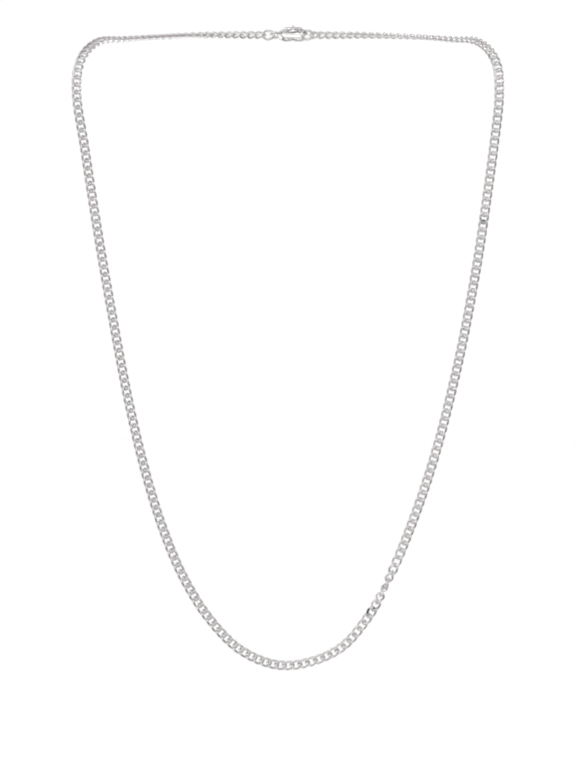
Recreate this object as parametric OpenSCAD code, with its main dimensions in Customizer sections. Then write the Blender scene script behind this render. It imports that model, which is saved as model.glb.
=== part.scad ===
// Curb chain necklace with a clasp, hanging as a closed loop from the neck.
// The origin is the middle of the neck, level with the top of the hanging front.
// +Z is up, the front of the chain faces -Y and the clasp lies at the nape, towards +Y.

/* [Links] */
// Outer length of one link
link_l = 3.2; // [2.9:0.05:3.6]
// Outer width of one link, which is the width of the chain
link_w = 2.32; // [2.1:0.02:2.6]
// Diameter of the link wire
wire_d = 0.54; // [0.45:0.01:0.58]
// Play between the ends of neighbouring links that lie flat
link_play = 0.27; // [0.25:0.01:0.35]
// Gap between the sloping sides of neighbouring links
side_gap = 0.45; // [0.42:0.01:0.5]

/* [Hanging front] */
// Width of the loop where its front starts to hang
hang_w = 101.4; // [90:0.2:120]
// Drop from there to the lowest link
hang_drop = 136.7; // [115:0.1:170]
// Lean of the chain's face towards the inside of the loop
face_lean = 15; // [0:1:25]

/* [Half twist] */
// Distance along the chain from its lowest point to the middle of the half twist
twist_at = 33; // [20:0.1:90]
// Length of chain that the half twist takes
twist_l = 16.4; // [14:0.1:30]
// Play between the ends of the links in the half twist, which lie drawn out
twist_play = 0.15; // [0.14:0.01:0.22]

/* [Neck] */
// Depth of the loop from its hanging front to the clasp
neck_d = 30; // [24:0.5:40]
// Height of the clasp above the top of the hanging front
neck_rise = 17.4; // [12:0.2:24]
// Tilt of the clasp and the chain beside it, back from level
nape_tilt = 35; // [0:1:45]

/* [Clasp] */
// Length of the clasp with its eye
clasp_l = 9.6; // [8.6:0.1:12]
// Width of the hook loop without its thumb lever
clasp_w = 4.4; // [4:0.1:5.2]
// Diameter of the hook loop's wire
hook_d = 1.1; // [0.9:0.05:1.3]
// Diameter of the barrel along one side of the hook loop
barrel_d = 1.8; // [1.5:0.05:2.1]
// Outer diameter of the clasp's eye
eye_d = 2.6; // [2.4:0.1:3]
// Diameter of the eye's wire
eye_wire = 0.65; // [0.5:0.05:0.7]
// How far the thumb lever stands out from the barrel
lever_h = 0.7; // [0.4:0.1:1]
// Diameter of the thumb lever
lever_d = 0.9; // [0.7:0.1:1.2]

/* [Jump rings] */
// Outer diameter of a jump ring
ring_d = 3.4; // [3.2:0.1:4]
// Diameter of a jump ring's wire
ring_wire = 0.6; // [0.5:0.05:0.65]
// Play of a jump ring in the link, the eye or the hook that it holds
ring_play = 0.16; // [0.12:0.01:0.25]

/* [Hidden] */

LEFT = -1;
RIGHT = 1;
FRONT = [0, -1, 0];

// The hanging front, from its top down. Each row gives how far down it is, as a share
// of hang_drop, and how far the left and the right side stand from the middle there,
// as shares of half of hang_w.
DOWN = 0;
OUT_LEFT = 1;
OUT_RIGHT = 2;
hang_rows = [
  [0, 1, 1],
  [0.09, 0.963, 0.974],
  [0.17, 0.93, 0.945],
  [0.26, 0.891, 0.91],
  [0.34, 0.854, 0.874],
  [0.43, 0.81, 0.828],
  [0.51, 0.769, 0.78],
  [0.6, 0.716, 0.719],
  [0.68, 0.66, 0.654],
  [0.76, 0.592, 0.577],
  [0.84, 0.502, 0.487],
  [0.915, 0.378, 0.379],
  [0.975, 0.215, 0.226],
];
low_out = -0.007;

// How far the lowest links sit to the left of even about the lowest point, in pitches
low_shift = 0.3;

// The way round the neck, from the top of the hanging front to the clasp. Each row is
// out from the middle, back and up, as shares of half of hang_w, neck_d and neck_rise.
NECK_OUT = 0;
NECK_BACK = 1;
NECK_UP = 2;
neck_rows = [
  [0.986, 0.08, 0.49],
  [0.909, 0.28, 0.79],
  [0.787, 0.533, 0.868],
  [0.617, 0.757, 0.937],
  [0.4, 0.917, 0.983],
];

front_y = -neck_d / 2;
nape_y = neck_d / 2;

// Pitch of links that lie flat, and of links drawn out by the half twist
flat_pitch = link_l - 2 * wire_d - link_play;
open_pitch = link_l - 2 * wire_d - twist_play;

// Each link is a wire loop bent into a saddle. Its two sides are straight and slope
// opposite ways, and four arcs of one circle each join them at the link's ends.
side_slope = asin((wire_d + side_gap) / flat_pitch);
end_x = (link_l - wire_d) / 2;
side_y = (link_w - wire_d) / 2;
end_slant = atan(end_x / side_y * tan(side_slope));
side_half = (end_x * cos(side_slope) - side_y * cos(end_slant))
  / (1 + sin(end_slant) * sin(side_slope));
arc_start = [side_half * cos(side_slope), side_y, side_half * sin(side_slope)];
arc_end = [end_x, 0, 0];
start_dir = [cos(side_slope), 0, sin(side_slope)];
end_dir = [0, -cos(end_slant), -sin(end_slant)];
arc_axis = unit(cross(start_dir, end_dir));
arc_angle = acos(start_dir * end_dir);
arc_r = norm(arc_end - arc_start) / (2 * sin(arc_angle / 2));
arc_in = cross(arc_axis, start_dir);
arc_centre = arc_start + arc_r * arc_in;

// Neighbouring stretches of a link's wire run into each other by a short lap, and differ
// in diameter by a hair, so that they join into one solid
lap = 0.03;
hair = 0.01;
wire_fn = 16;
ring_fn = 48;
curve_steps = 40;

function unit(v) = v / norm(v);

// The part of v that is square to the unit vector t, as a unit vector
function square_to(v, t) = unit(v - (v * t) * t);

// The unit vector n, square to t, turned about t
function turned(n, t, angle) = n * cos(angle) + cross(t, n) * sin(angle);

// 0 before 0, 1 after 1, and a smooth rise between
function rise(u) = let (v = min(max(u, 0), 1)) v * v * (3 - 2 * v);

// The centre distance of two closed rings that hang in each other, from their lengths
// and wires
function hooked(l1, wire1, l2, wire2, play) = (l1 + l2) / 2 - wire1 - wire2 - play;

// The clasp and its rings in their own frame. X runs along the chain from the last link
// on the left, Y across it, and Z out of its face.
ring_left_x = hooked(link_l, wire_d, ring_d, ring_wire, ring_play);
eye_x = ring_left_x + hooked(ring_d, ring_wire, eye_d, eye_wire, ring_play);
hook_end_x = eye_x - eye_d / 2 + clasp_l;
ring_right_x = hook_end_x - hook_d - ring_play + ring_d / 2 - ring_wire;
closing_l = ring_right_x + hooked(ring_d, ring_wire, link_l, wire_d, ring_play);

// The points that one side of the loop runs through, from the lowest point to its last
// link, with one more before and after them that give the curve its end directions
low_point = [low_out * hang_w / 2, front_y, -hang_drop];
function hang_point(side, row) =
  [side * row[side == LEFT ? OUT_LEFT : OUT_RIGHT] * hang_w / 2, front_y, -row[DOWN] * hang_drop];
function neck_point(side, row) =
  [side * row[NECK_OUT] * hang_w / 2, front_y + row[NECK_BACK] * neck_d, row[NECK_UP] * neck_rise];
function route(side) = let (
  last = len(hang_rows) - 1,
  end = [side * closing_l / 2, nape_y, neck_rise],
  before_end = neck_point(side, neck_rows[len(neck_rows) - 1])
) concat(
  [hang_point(-side, hang_rows[last]), low_point],
  [for (i = [last:-1:0]) hang_point(side, hang_rows[i])],
  [for (row = neck_rows) neck_point(side, row)],
  [end, [2 * end[0] - before_end[0], before_end[1], before_end[2]]]
);

// A smooth curve through points b and c, where a and d are their neighbours
function between(a, b, c, d, t) =
  (2 * b + (c - a) * t + (2 * a - 5 * b + 4 * c - d) * t * t + (3 * b - a - 3 * c + d) * t * t * t) / 2;
function curve(p) = concat(
  [for (i = [1:len(p) - 3], k = [0:curve_steps - 1])
    between(p[i - 1], p[i], p[i + 1], p[i + 2], k / curve_steps)],
  [p[len(p) - 2]]
);

// Distance along the curve at each of its points
function travelled(c) = [for (i = 0, s = 0; i < len(c);
  s = s + norm(c[min(i + 1, len(c) - 1)] - c[i]), i = i + 1) s];

function table(s, c, axis) = [for (i = [0:len(c) - 1]) [s[i], c[i][axis]]];
function at(tables, s) = [for (t = tables) lookup(s, t)];

// Places from one distance up to another, not counting it, as near a pitch as fits
function spaced(from, to, pitch) = let (n = round((to - from) / pitch))
  [for (i = [0:n - 1]) from + i * (to - from) / n];

// Distance of each link's centre from the lowest point, up to the end of the curve.
// The half twist draws the links on the right out, with one link at its middle.
function link_places(side, length) = let (
  start = (0.5 - side * low_shift) * flat_pitch,
  open_half = round(twist_l / open_pitch / 2) * open_pitch
) concat(
  side == LEFT ? spaced(start, length, flat_pitch) : concat(
    spaced(start, twist_at - open_half, flat_pitch),
    spaced(twist_at - open_half, twist_at + open_half, open_pitch),
    spaced(twist_at + open_half, length, flat_pitch)
  ),
  [length]
);

// The outward face direction of each link, carried up from the front without a turn
function carried(tangents) = [for (i = 0, n = FRONT; i < len(tangents);
  i = i + 1, n = i < len(tangents) ? square_to(n, tangents[i]) : n) n];

// Turn of a link's face about the chain: the half twist, and from the lean of the hanging
// front to the tilt at the nape
function link_turn(side, s, neck_share, neck_turn) =
  (side == RIGHT ? -180 * rise((s - twist_at) / twist_l + 0.5) : 0)
  + side * (neck_turn * neck_share - face_lean * (1 - neck_share));

// Position, direction and face of each link on one side of the loop
function link_frames(side) = let (
  points = curve(route(side)),
  along = travelled(points),
  length = along[len(along) - 1],
  tables = [for (axis = [0:2]) table(along, points, axis)],
  places = link_places(side, length),
  step = flat_pitch / 2,
  tangents = [for (s = places) unit(at(tables, min(s + step, length)) - at(tables, s - step))],
  faces = carried(tangents),
  last_face = faces[len(faces) - 1],
  neck_turn = nape_tilt - atan2(last_face[1], last_face[2]),
  hang_l = along[len(hang_rows) * curve_steps]
) [for (i = [0:len(places) - 1]) let (
    s = places[i],
    neck_share = max(s - hang_l, 0) / (length - hang_l)
  ) [
    at(tables, s),
    tangents[i],
    turned(faces[i], tangents[i], link_turn(side, s, neck_share, neck_turn))
  ]];

module placed(frame) {
  p = frame[0];
  x = frame[1];
  z = frame[2];
  y = cross(z, x);
  multmatrix([
    [x[0], y[0], z[0], p[0]],
    [x[1], y[1], z[1], p[1]],
    [x[2], y[2], z[2], p[2]],
    [0, 0, 0, 1],
  ])
    children();
}

module wire_ring(outer_d, wire) {
  rotate_extrude($fn = ring_fn)
    translate([(outer_d - wire) / 2, 0])
      circle(d = wire, $fn = wire_fn);
}

module link_arc(d, lap_angle = 0) {
  placed([arc_centre, -arc_in, arc_axis])
    rotate_extrude(angle = arc_angle + lap_angle, $fn = ring_fn)
      translate([arc_r, 0])
        circle(d = d, $fn = wire_fn);
}

module link_side(d) {
  translate([0, side_y, 0])
    rotate([0, 90 - side_slope, 0])
      cylinder(d = d, h = 2 * (side_half + lap), center = true, $fn = wire_fn);
}

module link() {
  for (turn = [[0, 0, 0], [0, 0, 180]])
    rotate(turn)
      link_arc(wire_d);
  for (turn = [[180, 0, 0], [0, 180, 0]])
    rotate(turn)
      link_arc(wire_d - hair, lap / arc_r * 180 / PI);
  for (turn = [[0, 0, 0], [180, 0, 0]])
    rotate(turn)
      link_side(wire_d - 2 * hair);
}

module chain_side(side) {
  color("silver")
    for (frame = link_frames(side))
      placed(frame)
        link();
}

// Moves children from the clasp's own frame to the nape
module at_nape(x = 0) {
  translate([0, nape_y, neck_rise])
    rotate([-nape_tilt, 0, 0])
      translate([x - closing_l / 2, 0, 0])
        children();
}

module jump_ring(x) {
  color("gainsboro")
    at_nape(x)
      rotate([90, 0, 0])
        wire_ring(ring_d, ring_wire);
}

module clasp() {
  bend_r = (clasp_w - hook_d) / 2;
  start_x = eye_d / 2 - eye_wire;
  straight_l = clasp_l - eye_d / 2 - start_x - 2 * bend_r - hook_d;
  bend_x = start_x + hook_d / 2 + bend_r;
  color("lightgray")
    at_nape(eye_x) {
      wire_ring(eye_d, eye_wire);
      for (end = [[bend_x, 90], [bend_x + straight_l, -90]])
        translate([end[0], 0, 0])
          rotate([0, 0, end[1]])
            rotate_extrude(angle = 180, $fn = ring_fn)
              translate([bend_r, 0])
                circle(d = hook_d, $fn = wire_fn);
      translate([bend_x, bend_r, 0])
        rotate([0, 90, 0])
          cylinder(d = hook_d - hair, h = straight_l, $fn = wire_fn);
      translate([bend_x + straight_l / 2, -bend_r, 0])
        clasp_barrel(straight_l + barrel_d);
    }
}

// The thick side of the hook loop, round at both ends, with its thumb lever
module clasp_barrel(length) {
  round_x = (length - barrel_d) / 2;
  rotate([0, 90, 0])
    rotate_extrude($fn = ring_fn)
      intersection() {
        union() {
          for (x = [-round_x, round_x])
            translate([0, x])
              circle(d = barrel_d, $fn = ring_fn);
          translate([-barrel_d / 2, -round_x])
            square([barrel_d, 2 * round_x]);
        }
        translate([0, -length / 2])
          square([barrel_d, length]);
      }
  rotate([90, 0, 0])
    cylinder(d = lever_d, h = barrel_d / 2 + lever_h, $fn = ring_fn);
}

chain_side(LEFT);  // chain_left
chain_side(RIGHT);  // chain_right
jump_ring(ring_left_x);  // jump_ring_left
jump_ring(ring_right_x);  // jump_ring_right
clasp();
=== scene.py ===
import math
import random

import bmesh
import bpy
import numpy as np
from mathutils import Matrix, Vector


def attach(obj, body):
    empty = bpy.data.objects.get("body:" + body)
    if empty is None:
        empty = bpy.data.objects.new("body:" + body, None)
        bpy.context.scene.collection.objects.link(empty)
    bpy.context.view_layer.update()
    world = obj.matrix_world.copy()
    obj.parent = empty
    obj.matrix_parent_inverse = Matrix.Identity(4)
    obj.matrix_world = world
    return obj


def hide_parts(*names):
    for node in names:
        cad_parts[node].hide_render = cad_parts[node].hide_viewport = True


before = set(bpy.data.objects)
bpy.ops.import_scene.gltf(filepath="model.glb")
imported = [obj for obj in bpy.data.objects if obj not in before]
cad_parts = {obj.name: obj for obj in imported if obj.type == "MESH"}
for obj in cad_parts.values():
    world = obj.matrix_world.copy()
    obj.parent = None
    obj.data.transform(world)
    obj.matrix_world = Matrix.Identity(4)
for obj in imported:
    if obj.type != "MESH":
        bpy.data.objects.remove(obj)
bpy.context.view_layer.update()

scene = bpy.context.scene
print("necklace loaded,", len(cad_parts), "nodes")

# The camera stands level before the hanging chain. One photo pixel is the same size
# everywhere on the hanging front.
photoView = {
    "distance": 0.9,        # from the hanging front
    "nearest": 0.01,        # nothing nearer is drawn
    "pixel": 0.00024,
    "rows": 768,
    "topRow": 96,           # level with the top of the hanging front, which is z = 0
    "frontY": -0.015,
    "sensor": 24.0,         # mm high
    "softness": 2.0,        # pixels that one point spreads over, as in the photo
}


def setCamera(view):
    camera = bpy.data.objects.new("photoCamera", bpy.data.cameras.new("photoCamera"))
    scene.collection.objects.link(camera)
    level = (view["topRow"] - view["rows"] / 2) * view["pixel"]
    camera.location = (0, view["frontY"] - view["distance"], level)
    camera.rotation_euler = (math.radians(90), 0, 0)
    camera.data.sensor_fit = "VERTICAL"
    camera.data.sensor_height = view["sensor"]
    camera.data.lens = view["sensor"] * view["distance"] / (view["rows"] * view["pixel"])
    camera.data.clip_start = view["nearest"]
    scene.camera = camera
    scene.view_settings.view_transform = "Standard"
    scene.cycles.filter_width = view["softness"]


setCamera(photoView)
print("camera set")


class Wire:  # a node's output that can be reckoned with
    def __init__(self, bench, socket):
        self.bench = bench
        self.socket = socket

    def __add__(self, other):
        return self.bench.worked("ADD", self, other)

    def __radd__(self, other):
        return self.bench.worked("ADD", other, self)

    def __sub__(self, other):
        return self.bench.worked("SUBTRACT", self, other)

    def __rsub__(self, other):
        return self.bench.worked("SUBTRACT", other, self)

    def __mul__(self, other):
        return self.bench.worked("MULTIPLY", self, other)

    def __rmul__(self, other):
        return self.bench.worked("MULTIPLY", other, self)

    def __truediv__(self, other):
        return self.bench.worked("DIVIDE", self, other)

    def __rtruediv__(self, other):
        return self.bench.worked("DIVIDE", other, self)

    def output(self, name):
        return Wire(self.bench, self.socket.node.outputs[name])


class Bench:  # a node tree being wired
    def __init__(self, tree):
        self.tree = tree
        tree.nodes.clear()

    def node(self, kind, settings=None, sockets=None):
        made = self.tree.nodes.new(kind)
        for name, value in (settings or {}).items():
            if name == "stops":
                ramp = made.color_ramp
                while len(ramp.elements) > 1:
                    ramp.elements.remove(ramp.elements[-1])
                for number, (place, colour) in enumerate(value):
                    stop = ramp.elements.new(place) if number else ramp.elements[0]
                    stop.position = place
                    stop.color = colour
            else:
                setattr(made, name, value)
        named = sockets.items() if isinstance(sockets, dict) else enumerate(sockets or [])
        for name, value in named:
            if isinstance(value, Wire):
                self.tree.links.new(value.socket, made.inputs[name])
            else:
                made.inputs[name].default_value = value
        outputs = [socket for socket in made.outputs if socket.enabled]
        return Wire(self, outputs[0]) if outputs else None

    def worked(self, operation, *values):
        return self.node("ShaderNodeMath", {"operation": operation}, values)

    def between(self, value, low, high):  # 0 below low, 1 above high, smooth between
        settings = {"interpolation_type": "SMOOTHSTEP"}
        return self.node("ShaderNodeMapRange", settings, [value, low, high])

    def mixed(self, share, first, second):  # two colours, on the sockets of a colour Mix
        return self.node("ShaderNodeMix", {"data_type": "RGBA"}, {0: share, 6: first, 7: second})


def newMaterial(name):
    material = bpy.data.materials.new(name)
    material.use_nodes = True
    return material, Bench(material.node_tree)


# Polished sterling silver. It dulls a little where fingers don't rub it, on the inner
# side of the wire, and is near-black in a few small spots at given places.
silver = {
    "colour": (0.945, 0.916, 0.918, 1),
    "dull": (0.7, 0.668, 0.668, 1),
    "black": (0.06, 0.055, 0.055, 1),
    "innerDull": 0.05,      # how dull the inner side is
    "handled": 0.06,        # how much handling dulls it here and there
    "handledScale": 900.0,
    "handledDetail": 4.0,
    "handledGrain": 0.6,
    "handledFrom": 0.42,    # of the noise: bright below this
    "handledTo": 0.7,       # and at its dullest above this
    "roughness": 0.14,
    "dullRoughness": 0.16,  # more where it is dull
    "scratchScale": 14000.0,
    "scratchDetail": 2.0,
    "scratchDepth": 0.0000003,
    "seam": 0.35,           # darkness of the solder seam of a link
    "seamFrom": 0.02,       # half its dark width, as a share of half the link's length
    "seamTo": 0.05,         # where it has faded
    "spotCore": 0.3,        # share of a spot's reach that is darkest
    "spots": [              # middle, reach and darkness of each spot
        ((0.0191, -0.015, -0.1236), 0.0012, 0.97),
        ((0.0212, -0.015, -0.123), 0.0011, 0.97),
        ((0.047, -0.015, -0.0298), 0.0012, 0.7),
        ((0.0247, -0.015, -0.114), 0.0007, 0.8),
    ],
}
castSilver = dict(silver, roughness=0.18, handled=0.35)


def polishedSilver(name, finish, isChain):
    material, bench = newMaterial(name)
    place = bench.node("ShaderNodeTexCoord").output("Object")
    clouds = bench.node("ShaderNodeTexNoise", {}, {
        "Vector": place, "Scale": finish["handledScale"],
        "Detail": finish["handledDetail"], "Roughness": finish["handledGrain"]})
    dull = bench.between(clouds, finish["handledFrom"], finish["handledTo"]) * finish["handled"]
    black = None
    if isChain:
        inner, seamWay, tone = [
            bench.node("ShaderNodeAttribute", {"attribute_name": layer}).output("Fac")
            for layer in ("innerSide", "seamWay", "linkTone")]
        seamAway = bench.worked("ABSOLUTE", seamWay)
        seam = 1 - bench.between(seamAway, finish["seamFrom"], finish["seamTo"])
        dull = dull + inner * finish["innerDull"] + tone + seam * finish["seam"]
        # a near-black spot round each given middle on the chain
        for middle, reach, depth in finish["spots"]:
            apart = bench.node("ShaderNodeVectorMath", {"operation": "DISTANCE"}, [place, middle])
            away = apart.output("Value")
            spot = (1 - bench.between(away, reach * finish["spotCore"], reach)) * depth
            black = spot if black is None else bench.worked("MAXIMUM", black, spot)
    dull = bench.node("ShaderNodeClamp", {}, [dull])
    colour = bench.mixed(dull, finish["colour"], finish["dull"])
    if isChain:
        colour = bench.mixed(black, colour, finish["black"])
    scratches = bench.node("ShaderNodeTexNoise", {}, {
        "Vector": place, "Scale": finish["scratchScale"], "Detail": finish["scratchDetail"]})
    rubbed = bench.node("ShaderNodeBump", {}, {
        "Strength": 1.0, "Distance": finish["scratchDepth"], "Height": scratches})
    surface = bench.node("ShaderNodeBsdfPrincipled", {}, {
        "Base Color": colour, "Metallic": 1.0, "Normal": rubbed,
        "Roughness": dull * finish["dullRoughness"] + finish["roughness"]})
    bench.node("ShaderNodeOutputMaterial", {}, [surface])
    return material


chainSilver = polishedSilver("polishedSilver", silver, True)
claspSilver = polishedSilver("castSilver", castSilver, False)
print("silver mixed")


def addPiece(name, mesh, material, nodes):
    piece = bpy.data.objects.new(name, mesh)
    scene.collection.objects.link(piece)
    mesh.materials.append(material)
    mesh.polygons.foreach_set("use_smooth", [True] * len(mesh.polygons))
    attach(piece, "root")
    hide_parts(*nodes)


def meshOf(bm, name):
    mesh = bpy.data.meshes.new(name)
    bm.to_mesh(mesh)
    bm.free()
    return mesh


def edgesOf(geometry):
    return [part for part in geometry if isinstance(part, bmesh.types.BMEdge)]


def vertsOf(geometry):
    return [part for part in geometry if isinstance(part, bmesh.types.BMVert)]


def cornersOf(ring):  # each once and always in the same order
    return list(dict.fromkeys(vert for edge in ring for vert in edge.verts))


# A wire starts as a ring of edges. Each step gives back the ring it has reached.
def newRing(bm, sides, radius, stand):
    verts = bmesh.ops.create_circle(bm, segments=sides, radius=radius, matrix=stand)["verts"]
    return list(dict.fromkeys(edge for vert in verts for edge in vert.link_edges))


def bentOn(bm, ring, middle, axis, angle, steps):
    spun = bmesh.ops.spin(bm, geom=cornersOf(ring) + ring, cent=middle, axis=axis, angle=angle,
                          steps=steps, use_merge=False, use_duplicate=False)
    return edgesOf(spun["geom_last"])


def drawnOn(bm, ring, way):
    grown = bmesh.ops.extrude_edge_only(bm, edges=ring)["geom"]
    verts = vertsOf(grown)
    bmesh.ops.translate(bm, vec=way, verts=verts)
    return [edge for edge in edgesOf(grown) if all(vert in verts for vert in edge.verts)]


# One link: two straight sides that slope opposite ways, joined by four arcs
curbLink = {
    "length": 0.0032,
    "width": 0.00232,
    "wire": 0.00054,
    "slope": math.radians(32.353),   # of the sides
    "wireSides": 6,                  # few, because there are hundreds of links
    "arcSteps": 3,
    "fullness": 1.11,                # a wire of few sides looks thinner than a round one
    "toneSpread": 0.08,              # how much links differ in dullness
    "seed": 7,
}


def bentLink(link):
    halfLength = (link["length"] - link["wire"]) / 2
    halfWidth = (link["width"] - link["wire"]) / 2
    slope = link["slope"]
    slant = math.atan(halfLength / halfWidth * math.tan(slope))   # of the ends
    sideHalf = ((halfLength * math.cos(slope) - halfWidth * math.cos(slant))
                / (1 + math.sin(slant) * math.sin(slope)))
    sideWay = Vector((math.cos(slope), 0, math.sin(slope)))
    backWay = Vector((-math.cos(slope), 0, math.sin(slope)))
    endWay = Vector((0, -math.cos(slant), -math.sin(slant)))

    # The arc from the end of a side to the link's end, and its three turned twins
    sideEnd = sideWay * sideHalf + Vector((0, halfWidth, 0))
    linkEnd = Vector((halfLength, 0, 0))
    axis = sideWay.cross(endWay).normalized()
    angle = sideWay.angle(endWay)
    radius = (linkEnd - sideEnd).length / (2 * math.sin(angle / 2))
    centre = sideEnd + axis.cross(sideWay) * radius
    aboutX = Matrix.Rotation(math.pi, 3, "X")
    aboutZ = Matrix.Rotation(math.pi, 3, "Z")
    bends = [(centre, axis),
             (aboutX @ centre, -(aboutX @ axis)),
             (aboutZ @ centre, aboutZ @ axis),
             (aboutZ @ aboutX @ centre, -(aboutZ @ aboutX @ axis))]

    # Two arcs, the side at the back, two arcs, and the front side joins both ends
    bm = bmesh.new()
    stand = Matrix.Translation(sideEnd) @ sideWay.to_track_quat("Z", "Y").to_matrix().to_4x4()
    thickness = link["wire"] / 2 * link["fullness"]
    firstRing = newRing(bm, link["wireSides"], thickness, stand)
    ring = firstRing
    for number, (middle, turn) in enumerate(bends):
        if number == 2:
            ring = drawnOn(bm, ring, backWay * 2 * sideHalf)
        ring = bentOn(bm, ring, middle, turn, angle, link["arcSteps"])
    bmesh.ops.bridge_loops(bm, edges=ring + firstRing)
    bmesh.ops.recalc_face_normals(bm, faces=bm.faces)
    bm.normal_update()

    # What the silver reads: the side that faces the hole, and the way along the soldered side
    inner = bm.verts.layers.float.new("innerSide")
    seamWay = bm.verts.layers.float.new("seamWay")
    bm.verts.layers.float.new("linkTone")
    unsoldered = 2
    for vert in bm.verts:
        outward = Vector((vert.co.x, vert.co.y, 0)).normalized()
        vert[inner] = max(0, -vert.normal.dot(outward))
        vert[seamWay] = vert.co.x / halfLength if vert.co.y > 0 else unsoldered
    return bm


def sortedByLink(points, corners):
    # The number of each face's link: faces that share a corner are on one link
    decimals = 7
    merged = np.unique(np.round(points, decimals), axis=0, return_inverse=True)[1].ravel()[corners]
    part = np.arange(merged.max() + 1)
    while True:   # spread the lowest number over each link
        lowest = part[merged].min(axis=1)
        grown = part.copy()
        for corner in range(3):
            np.minimum.at(grown, merged[:, corner], lowest)
        grown = grown[grown]
        if (grown == part).all():
            return np.unique(part[merged[:, 0]], return_inverse=True)[1]
        part = grown


def linkPlaces(node):
    # Where each link of a chain node lies: its centre and its long, wide and thin ways
    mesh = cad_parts[node].data
    points = np.empty(len(mesh.vertices) * 3)
    mesh.vertices.foreach_get("co", points)
    points = points.reshape(-1, 3)
    corners = np.empty(len(mesh.loops), int)
    mesh.loops.foreach_get("vertex_index", corners)
    corners = corners.reshape(-1, 3)
    owner = sortedByLink(points, corners)
    places = []
    for number in range(owner.max() + 1):
        faces = points[corners[owner == number]]
        rough = faces.mean(axis=(0, 1))
        faces = faces - rough

        # Each face makes a tetrahedron with the rough middle, and these are the usual
        # sixth, quarter and twentieth of one
        volume = np.einsum("ij,ij->i", faces[:, 0], np.cross(faces[:, 1], faces[:, 2])) / 6
        reach = faces.sum(axis=1)
        centre = (volume[:, None] * reach).sum(axis=0) / 4 / volume.sum()
        spread = (np.einsum("n,nki,nkj->ij", volume, faces, faces)
                  + np.einsum("n,ni,nj->ij", volume, reach, reach)) / 20 / volume.sum()
        ways = np.linalg.eigh(spread - np.outer(centre, centre))[1]
        long, wide = Vector(ways[:, 2]), Vector(ways[:, 1])
        places.append(Matrix.Translation(Vector(rough + centre))
                      @ Matrix((long, wide, long.cross(wide))).transposed().to_4x4())
    return places


def stringLinks(name, node, link, material):
    bm = bentLink(link)
    tone = bm.verts.layers.float["linkTone"]
    pattern = list(bm.verts) + list(bm.edges) + list(bm.faces)
    chance = random.Random(link["seed"])
    places = linkPlaces(node)
    for place in places:
        verts = vertsOf(bmesh.ops.duplicate(bm, geom=pattern)["geom"])
        bmesh.ops.transform(bm, matrix=place, verts=verts)
        dullness = chance.uniform(0, link["toneSpread"])
        for vert in verts:
            vert[tone] = dullness
    bmesh.ops.delete(bm, geom=vertsOf(pattern), context="VERTS")
    print(name, "strung,", len(places), "links,", len(bm.faces), "faces")
    addPiece(name, meshOf(bm, name), material, [node])


stringLinks("leftChain", "chain_left", curbLink, chainSilver)
stringLinks("rightChain", "chain_right", curbLink, chainSilver)

# The clasp and its rings in their own frame: X runs along the chain from the last link
# on the left, Y across it and Z out of its face. It lies tilted at the nape.
nape = {
    "place": (0, 0.015, 0.0174),
    "tilt": math.radians(-35),
    "span": 0.01373,        # between the last links on both sides
    "leftRing": 0.002,
    "eye": 0.00359,
    "rightRing": 0.01173,
}
ontoX = Matrix.Rotation(math.radians(90), 4, "Y")        # turns Z onto X
ontoMinusY = Matrix.Rotation(math.radians(90), 4, "X")   # turns Z onto -Y


def atNape(along):
    return (Matrix.Translation(nape["place"]) @ Matrix.Rotation(nape["tilt"], 4, "X")
            @ Matrix.Translation((along - nape["span"] / 2, 0, 0)))


jumpRing = {
    "outer": 0.0034,
    "wire": 0.0006,
    "wireSides": 14,
    "steps": 44,
    "slit": math.radians(1.6),       # where the ends of the wire meet
    "slitTurn": math.radians(50),    # from the chain's line round to the slit
    "weld": 1e-7,                    # corners nearer than this are one
}


def openRing(ring, along):
    bm = bmesh.new()
    middle = (ring["outer"] - ring["wire"]) / 2
    stand = Matrix.Translation((middle, 0, 0)) @ ontoMinusY
    start = bmesh.ops.create_circle(bm, cap_ends=True, segments=ring["wireSides"],
                                    radius=ring["wire"] / 2, matrix=stand)["verts"]
    face = start[0].link_faces[0]
    bmesh.ops.spin(bm, geom=start + list(face.edges) + [face], cent=(0, 0, 0), axis=(0, 0, 1),
                   angle=math.tau - ring["slit"], steps=ring["steps"],
                   use_merge=False, use_duplicate=False)
    bmesh.ops.remove_doubles(bm, verts=bm.verts, dist=ring["weld"])
    bmesh.ops.recalc_face_normals(bm, faces=bm.faces)
    upright = ontoMinusY @ Matrix.Rotation(ring["slitTurn"], 4, "Z")
    bmesh.ops.transform(bm, matrix=atNape(along) @ upright, verts=bm.verts)
    return bm


for name, node, along in (("leftJumpRing", "jump_ring_left", nape["leftRing"]),
                          ("rightJumpRing", "jump_ring_right", nape["rightRing"])):
    addPiece(name, meshOf(openRing(jumpRing, along), name), claspSilver, [node])
print("jump rings closed")

lobsterClasp = {
    "length": 0.0096,
    "width": 0.0044,
    "wire": 0.0011,
    "eye": 0.0026,
    "eyeWire": 0.00065,
    "barrel": 0.0018,
    "collar": 0.00145,      # from the barrel's middle to the groove of each collar
    "gate": 0.6,            # where the gate meets the nose, as a share of the straight side
    "groove": 0.00007,      # depth of the collars' grooves and of the gate's joint
    "grooveRim": 0.00008,   # half the width of all of these at the surface
    "collarBed": 0.00004,   # half the width of a collar's groove at its bottom
    "gateBed": 0.00005,     # half the width of the gate's joint at its bottom
    "lever": 0.0009,
    "leverStands": 0.0016,  # from the barrel's axis
    "leverStem": [          # height in barrel radii, thickness in lever radii
        (0.5, 0.72), (1.06, 0.72), (1.14, 0.95), (1.22, 1)],
    "leverHead": [          # depth below the top, thickness in lever radii
        (0.00022, 1), (0.00012, 0.93), (0.00004, 0.7), (0, 0)],
    "sides": 20,
    "steps": 14,            # of half a turn
    "domeSteps": 5,
    "pole": 1e-7,           # radius of a closed end before its corners are merged
    "weld": 1e-6,           # corners nearer than this are one
}


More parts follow.
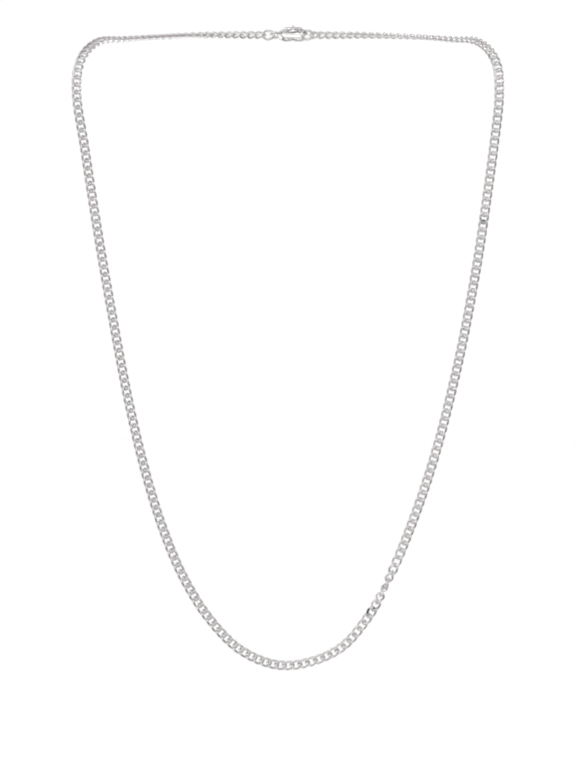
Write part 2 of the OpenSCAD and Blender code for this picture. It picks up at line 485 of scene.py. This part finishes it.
def grooved(height, radius, depth, rim, bed):
    # Stations of a groove round a rod
    return [(height - rim, radius), (height - bed, radius - depth),
            (height + bed, radius - depth), (height + rim, radius)]


def domed(radius, top, steps):
    # Stations of a round end of this radius that reaches up to top
    angles = [math.pi / 2 * step / steps for step in range(1, steps + 1)]
    return [(top - radius + radius * math.sin(angle), radius * math.cos(angle))
            for angle in angles]


def turned(bm, clasp, stations, stand):
    # A turned piece: a circle drawn along Z through stations of height and radius
    stations = [(height, max(radius, clasp["pole"])) for height, radius in stations]
    height, radius = stations[0]
    ring = newRing(bm, clasp["sides"], radius, Matrix.Translation((0, 0, height)))
    whole = cornersOf(ring)
    for nextHeight, nextRadius in stations[1:]:
        ring = drawnOn(bm, ring, (0, 0, nextHeight - height))
        verts = cornersOf(ring)
        bmesh.ops.scale(bm, vec=(nextRadius / radius, nextRadius / radius, 1), verts=verts)
        height, radius = nextHeight, nextRadius
        whole += verts
    bmesh.ops.transform(bm, matrix=stand, verts=whole)
    return ring


def sprungHook(clasp, along):
    bm = bmesh.new()
    half = clasp["wire"] / 2
    bend = (clasp["width"] - clasp["wire"]) / 2
    loopStart = clasp["eye"] / 2 - clasp["eyeWire"]
    straight = clasp["length"] - clasp["eye"] / 2 - loopStart - 2 * bend - clasp["wire"]
    left = loopStart + half + bend
    middle = left + straight / 2
    groove, rim = clasp["groove"], clasp["grooveRim"]

    # The hook loop: the straight side with the gate's joint, then round, back and round
    joint = grooved(straight * clasp["gate"], half, groove, rim, clasp["gateBed"])
    stations = [(0, half)] + joint + [(straight, half)]
    ring = turned(bm, clasp, stations, Matrix.Translation((left, bend, 0)) @ ontoX)
    ring = bentOn(bm, ring, (left + straight, 0, 0), (0, 0, 1), -math.pi, clasp["steps"])
    ring = drawnOn(bm, ring, (-straight, 0, 0))
    bentOn(bm, ring, (left, 0, 0), (0, 0, 1), -math.pi, clasp["steps"])

    # The barrel that holds the gate's spring, with a collar at each end
    thick = clasp["barrel"] / 2
    end = straight / 2 + thick
    upper = grooved(clasp["collar"], thick, groove, rim, clasp["collarBed"])
    upper += [(end - thick, thick)] + domed(thick, end, clasp["domeSteps"])
    stations = [(-height, radius) for height, radius in reversed(upper)] + upper
    turned(bm, clasp, stations, Matrix.Translation((middle, -bend, 0)) @ ontoX)

    # The thumb lever: a stem with a rounded head
    head = clasp["lever"] / 2
    stations = [(thick * height, head * radius) for height, radius in clasp["leverStem"]]
    stations += [(clasp["leverStands"] - depth, head * radius)
                 for depth, radius in clasp["leverHead"]]
    turned(bm, clasp, stations, Matrix.Translation((middle, -bend, 0)) @ ontoMinusY)

    # The eye
    stand = Matrix.Translation(((clasp["eye"] - clasp["eyeWire"]) / 2, 0, 0)) @ ontoMinusY
    ring = newRing(bm, clasp["sides"], clasp["eyeWire"] / 2, stand)
    bmesh.ops.spin(bm, geom=cornersOf(ring) + ring, cent=(0, 0, 0), axis=(0, 0, 1),
                   angle=math.tau, steps=clasp["steps"] * 2, use_merge=True, use_duplicate=False)

    bmesh.ops.remove_doubles(bm, verts=bm.verts, dist=clasp["weld"])
    bmesh.ops.holes_fill(bm, edges=[edge for edge in bm.edges if edge.is_boundary], sides=0)
    bmesh.ops.recalc_face_normals(bm, faces=bm.faces)
    bmesh.ops.transform(bm, matrix=atNape(along), verts=bm.verts)
    return bm


claspMesh = meshOf(sprungHook(lobsterClasp, nape["eye"]), "napeClasp")
addPiece("napeClasp", claspMesh, claspSilver, ["clasp"])
print("clasp hooked in")

# Soft light all round. Each ring of it reaches out to its angle from the way to the
# camera (-Y), and its strengths lie an eighth turn apart: above, then round by the right.
# The camera itself sees a plain pale backdrop.
studio = {
    "rings": [              # the last one reaches to straight behind
        (12, [1.70] * 8),
        (22, [1.48] * 8),
        (35, [0.00, 1.09, 0.22, 0.00, 0.00, 0.34, 1.01, 0.10]),
        (50, [0.00, 0.00, 1.36, 0.64, 0.51, 1.59, 0.30, 0.75]),
        (68, [0.30, 0.00, 0.06, 0.00, 0.00, 0.32, 0.23, 0.00]),
        (90, [1.81, 1.10, 0.30, 0.22, 0.39, 0.00, 0.96, 2.12]),
        (115, [0.00, 0.00, 0.23, 2.82, 0.81, 1.50, 0.22, 0.55]),
        (150, [0.69] * 8),
        (180, [0.39] * 8),
    ],
    "blend": 4,             # degrees
    "brightest": 2.82,      # of the strengths above
    "colour": (1, 1, 1, 1),
    "backdrop": 1.02,       # strength
}


def lightStudio(light):
    world = bpy.data.worlds.new("studio")
    scene.world = world
    world.use_nodes = True
    bench = Bench(world.node_tree)
    way = bench.node("ShaderNodeTexCoord").output("Generated")
    way = bench.node("ShaderNodeSeparateXYZ", {}, [way])
    away = bench.worked("ARCCOSINE", 0 - way.output("Y")) * (180 / math.pi)
    turn = bench.worked("ARCTAN2", way.output("X"), way.output("Z")) / math.tau
    turn = bench.worked("FRACT", turn + 1)
    blend, brightest = light["blend"], light["brightest"]
    farthest = light["rings"][-1][0]
    total, inner = 0, 0
    for reach, strengths in light["rings"]:
        shades = [strength / brightest for strength in strengths + strengths[:1]]
        stops = [(number / len(strengths), (shade, shade, shade, 1))
                 for number, shade in enumerate(shades)]
        shine = bench.node("ShaderNodeValToRGB", {"stops": stops}, [turn])
        isLast = reach == farthest
        outer = 1 if isLast else 1 - bench.between(away, reach - blend, reach + blend)
        total = total + (outer - inner) * shine
        inner = outer
    lit, plain = [
        bench.node("ShaderNodeBackground", {}, {"Color": light["colour"], "Strength": strength})
        for strength in (total * brightest, light["backdrop"])]
    seen = bench.node("ShaderNodeLightPath").output("Is Camera Ray")
    shown = bench.node("ShaderNodeMixShader", {}, [seen, lit, plain])
    bench.node("ShaderNodeOutputWorld", {}, [shown])


lightStudio(studio)

paleFloor = {
    "level": -0.2,
    "reach": 8.0,
    "colour": (0.9, 0.9, 0.9, 1),
    "roughness": 0.9,
    "sun": 1.63,            # a wide soft light from above that only the floor shows
    "sunWidth": math.radians(70),
}


def layFloor(floor):
    bm = bmesh.new()
    bmesh.ops.create_grid(bm, x_segments=1, y_segments=1, size=floor["reach"],
                          matrix=Matrix.Translation((0, 0, floor["level"])))
    piece = bpy.data.objects.new("paleFloor", meshOf(bm, "paleFloor"))
    scene.collection.objects.link(piece)
    material, bench = newMaterial("paleFloor")
    surface = bench.node("ShaderNodeBsdfPrincipled", {}, {
        "Base Color": floor["colour"], "Roughness": floor["roughness"]})
    bench.node("ShaderNodeOutputMaterial", {}, [surface])
    piece.data.materials.append(material)
    piece.visible_glossy = False
    sun = bpy.data.lights.new("floorLight", "SUN")
    sun.energy = floor["sun"]
    sun.angle = floor["sunWidth"]
    lamp = bpy.data.objects.new("floorLight", sun)
    lamp.visible_glossy = False
    scene.collection.objects.link(lamp)


layFloor(paleFloor)
print("floor and light set")
